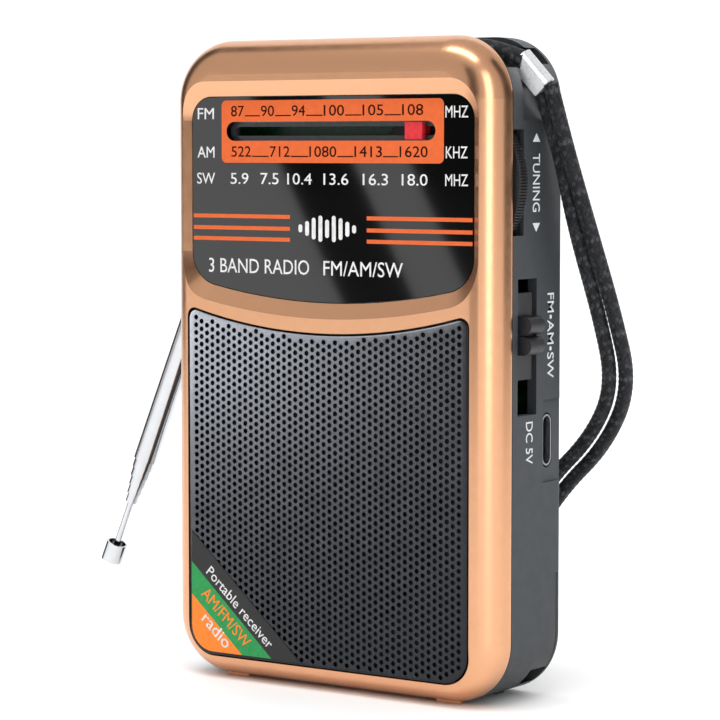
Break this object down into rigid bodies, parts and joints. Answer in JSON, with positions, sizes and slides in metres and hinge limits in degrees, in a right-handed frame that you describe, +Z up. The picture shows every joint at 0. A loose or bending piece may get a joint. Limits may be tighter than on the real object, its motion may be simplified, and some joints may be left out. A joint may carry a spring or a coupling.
{
  "type": "pocket radio",
  "caption": "Upright pocket radio with a sunk dial window, perforated speaker grille, thumbwheel tuning, band switch, swing-out telescopic antenna and wrist strap.",
  "frame": {"origin": "middle of the base of the case, on the plane that it stands on", "axes": "+Z up, +X to the right seen from the front, +Y to the back"},
  "size_m": [0.1099, 0.0576, 0.1154],
  "materials": {
    "gold_shell": "satin copper-gold lacquer",
    "shell": "fine spark texture",
    "lens": "high gloss",
    "dial_plate": "satin",
    "grille": "lacquered perforated sheet",
    "label": "printed film",
    "pointer": "gloss",
    "knob": "satin",
    "chrome": "polished",
    "steel": "bright zinc",
    "port_metal": "dark nickel",
    "jack": "moulded",
    "circuit_board": "solder mask",
    "component": "moulded",
    "tin_can": "tinned",
    "ferrite": "sintered",
    "winding": "enamelled wire",
    "speaker_steel": "black passivated",
    "magnet": "ferrite",
    "cone": "pressed paper",
    "inner_plastic": "moulded",
    "battery": "sleeved pack",
    "contact": "gold flashed",
    "cord_thread": "twisted thread",
    "strap": "braided polyester",
    "crimp": "bright"
  },
  "bodies": {
    "radio": {"aerial_coil": "winding", "antenna_screw": "steel", "baffle": "inner_plastic", "battery_contacts": "contact", "battery_pack": "battery", "battery_tray": "inner_plastic", "case_screws": "steel", "charging_board": "circuit_board", "cord_guide_lower": "inner_plastic", "cord_guide_upper": "inner_plastic", "corner_label": "label", "dial_cord": "cord_thread", "dial_plate": "dial_plate", "earphone_jack": "jack", "electrolytic_capacitors": "component", "ferrite_rod": "ferrite", "front_bezel": "gold_shell", "if_transformers": "tin_can", "main_board": "circuit_board", "radio_chip": "component", "rear_shell": "shell", "slide_switch": "component", "speaker_basket": "speaker_steel", "speaker_cone": "cone", "speaker_grille": "grille", "speaker_magnet": "magnet", "strap_cord": "strap", "strap_crimp": "crimp", "strap_eye": "strap", "strap_lug_bar": "steel", "tuning_capacitor": "component", "usb_socket": "port_metal", "volume_potentiometer": "component", "window_lens": "lens"},
    "tuning_wheel": {"tuning_wheel": "knob", "tuning_shaft": "steel"},
    "pointer": {"dial_pointer": "pointer"},
    "volume_wheel": {"volume_wheel": "knob"},
    "band_switch": {"band_knob": "knob"},
    "battery_cover": {"battery_cover": "shell"},
    "antenna": {"antenna_knuckle": "chrome", "antenna_tube_1": "chrome"},
    "antenna_section_2": {"antenna_tube_2": "chrome"},
    "antenna_section_3": {"antenna_tube_3": "chrome"},
    "antenna_section_4": {"antenna_tube_4": "chrome"},
    "antenna_section_5": {"antenna_tube_5": "chrome"},
    "antenna_section_6": {"antenna_tube_6": "chrome"},
    "antenna_tip": {"antenna_rod": "chrome", "antenna_cap": "chrome"}
  },
  "joints": [
    {"name": "tuning_spin", "type": "hinge", "parent": "radio", "child": "tuning_wheel", "pos_m": [0.0213, -0.003, 0.0902], "axis": [0, 1, 0], "range_deg": [-180, 0]},
    {"name": "pointer_slide", "type": "slide", "parent": "radio", "child": "pointer", "axis": [1, 0, 0], "range_m": [-0.0371, 0.0001]},
    {"name": "volume_spin", "type": "hinge", "parent": "radio", "child": "volume_wheel", "pos_m": [-0.0263, -0.003, 0.06], "axis": [0, 1, 0], "range_deg": [0, 280]},
    {"name": "band_slide", "type": "slide", "parent": "radio", "child": "band_switch", "axis": [0, 0, 1], "range_m": [-0.0018, 0.0018]},
    {"name": "battery_cover_pull", "type": "slide", "parent": "radio", "child": "battery_cover", "axis": [0, 1, 0], "range_m": [0, 0.004]},
    {"name": "antenna_swing", "type": "hinge", "parent": "radio", "child": "antenna", "pos_m": [-0.026, 0.0085, 0.108], "axis": [0, 1, 0], "range_deg": [-23.2, 156.8]},
    {"name": "antenna_stage_2", "type": "slide", "parent": "antenna", "child": "antenna_section_2", "axis": [-0.3939, 0, -0.9191], "range_m": [0, 0.058]},
    {"name": "antenna_stage_3", "type": "slide", "parent": "antenna_section_2", "child": "antenna_section_3", "axis": [-0.3939, 0, -0.9191], "range_m": [0, 0.058]},
    {"name": "antenna_stage_4", "type": "slide", "parent": "antenna_section_3", "child": "antenna_section_4", "axis": [-0.3939, 0, -0.9191], "range_m": [0, 0.058]},
    {"name": "antenna_stage_5", "type": "slide", "parent": "antenna_section_4", "child": "antenna_section_5", "axis": [-0.3939, 0, -0.9191], "range_m": [0, 0.058]},
    {"name": "antenna_stage_6", "type": "slide", "parent": "antenna_section_5", "child": "antenna_section_6", "axis": [-0.3939, 0, -0.9191], "range_m": [0, 0.058]},
    {"name": "antenna_stage_7", "type": "slide", "parent": "antenna_section_6", "child": "antenna_tip", "axis": [-0.3939, 0, -0.9191], "range_m": [0, 0.058]}
  ],
  "couplings": [
    {"joint": "pointer_slide", "follows": "tuning_spin", "m_per_rad": 0.0118}
  ]
}
